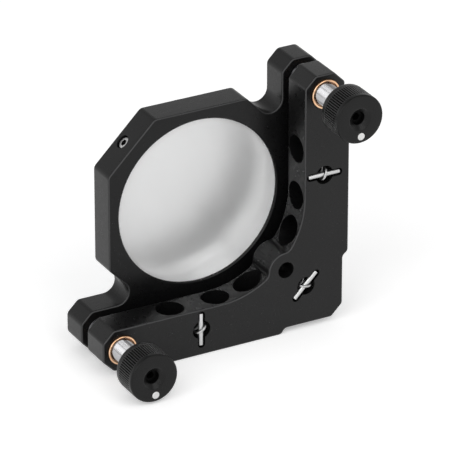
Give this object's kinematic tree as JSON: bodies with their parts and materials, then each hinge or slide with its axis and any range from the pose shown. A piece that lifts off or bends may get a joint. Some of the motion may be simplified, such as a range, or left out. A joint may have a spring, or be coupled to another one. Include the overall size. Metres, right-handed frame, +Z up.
{
  "type": "kinematic mirror mount",
  "caption": "Kinematic mirror mount: L-shaped rear plate, octagonal spring-held front plate with round optic, ball seats and fluted-knob tilt screws.",
  "frame": {"origin": "on the bottom pad's face, at the middle mounting hole's axis, where the post is, in the middle of the rear plate's thickness; the optic's axis is 0.6 mm to its -X side", "axes": "+X along the lower arm towards the pivot corner, +Y through the plates the way the mirror faces, +Z up along the upright arm"},
  "size_m": [0.0775, 0.045, 0.0776],
  "materials": {
    "black_anodised": "black anodised, matte",
    "knob_black": "black anodised, satin",
    "stainless_steel": "machined",
    "spring_steel": "drawn wire",
    "hardened_steel": "polished",
    "bronze": "turned bronze",
    "mirror_optic": "fine-ground back, coated front",
    "nylon": "natural"
  },
  "bodies": {
    "base": {"rear_plate": "black_anodised", "pitch_bushing": "bronze", "yaw_bushing": "bronze", "side_rear_pin": "stainless_steel", "bottom_rear_pin": "stainless_steel", "corner_rear_pin": "stainless_steel", "side_spring": "spring_steel", "bottom_spring": "spring_steel", "corner_spring": "spring_steel"},
    "pivot": {"pivot_ball": "hardened_steel"},
    "stage": {"front_plate": "black_anodised", "cone_seat": "hardened_steel", "vee_seat": "hardened_steel", "flat_seat": "hardened_steel", "side_front_pin": "stainless_steel", "bottom_front_pin": "stainless_steel", "corner_front_pin": "stainless_steel"},
    "optic": {"mirror": "mirror_optic"},
    "lock_tip": {"setscrew_tip": "nylon"},
    "lock_screw": {"optic_setscrew": "stainless_steel"},
    "pitch_tip": {"pitch_ball_tip": "hardened_steel"},
    "pitch_adjuster": {"pitch_screw": "stainless_steel", "pitch_knob": "knob_black"},
    "yaw_tip": {"yaw_ball_tip": "hardened_steel"},
    "yaw_adjuster": {"yaw_screw": "stainless_steel", "yaw_knob": "knob_black"}
  },
  "joints": [
    {"name": "pitch_turn", "type": "hinge", "parent": "pitch_tip", "child": "pitch_adjuster", "pos_m": [0.03155, 0, 0.0705], "axis": [0, 1, 0], "range_deg": [-2972, 4952]},
    {"name": "pitch_advance", "type": "slide", "parent": "base", "child": "pitch_tip", "axis": [0, 1, 0], "range_m": [-0.00262, 0.00437]},
    {"name": "pitch_tilt", "type": "hinge", "parent": "base", "child": "pivot", "pos_m": [0.03155, 0.00653, 0.0078], "axis": [-1, 0, 0], "range_deg": [-2.4, 4], "deforming": ["side_spring", "corner_spring"]},
    {"name": "yaw_turn", "type": "hinge", "parent": "yaw_tip", "child": "yaw_adjuster", "pos_m": [-0.03115, 0, 0.0078], "axis": [0, 1, 0], "range_deg": [-2972, 4952]},
    {"name": "yaw_advance", "type": "slide", "parent": "base", "child": "yaw_tip", "axis": [0, 1, 0], "range_m": [-0.00262, 0.00437]},
    {"name": "yaw_tilt", "type": "hinge", "parent": "pivot", "child": "stage", "pos_m": [0.03155, 0.00653, 0.0078], "axis": [0, 0, -1], "range_deg": [-2.4, 4], "deforming": ["bottom_spring"]},
    {"name": "optic_slide", "type": "slide", "parent": "stage", "child": "optic", "axis": [0, 1, 0], "range_m": [0, 0.01]},
    {"name": "lock_advance", "type": "slide", "parent": "stage", "child": "lock_tip", "axis": [-0.7071, 0, 0.7071], "range_m": [0, 0.00159]},
    {"name": "lock_turn", "type": "hinge", "parent": "lock_tip", "child": "lock_screw", "pos_m": [-0.0006, 0.01372, 0.03995], "axis": [-0.7071, 0, 0.7071], "range_deg": [0, 721]}
  ],
  "couplings": [
    {"joint": "pitch_turn", "follows": "pitch_advance", "rad_per_m": 19790},
    {"joint": "pitch_tilt", "follows": "pitch_advance", "rad_per_m": 15.949},
    {"joint": "yaw_turn", "follows": "yaw_advance", "rad_per_m": 19790},
    {"joint": "yaw_tilt", "follows": "yaw_advance", "rad_per_m": 15.949},
    {"joint": "lock_turn", "follows": "lock_advance", "rad_per_m": 7915.8}
  ]
}
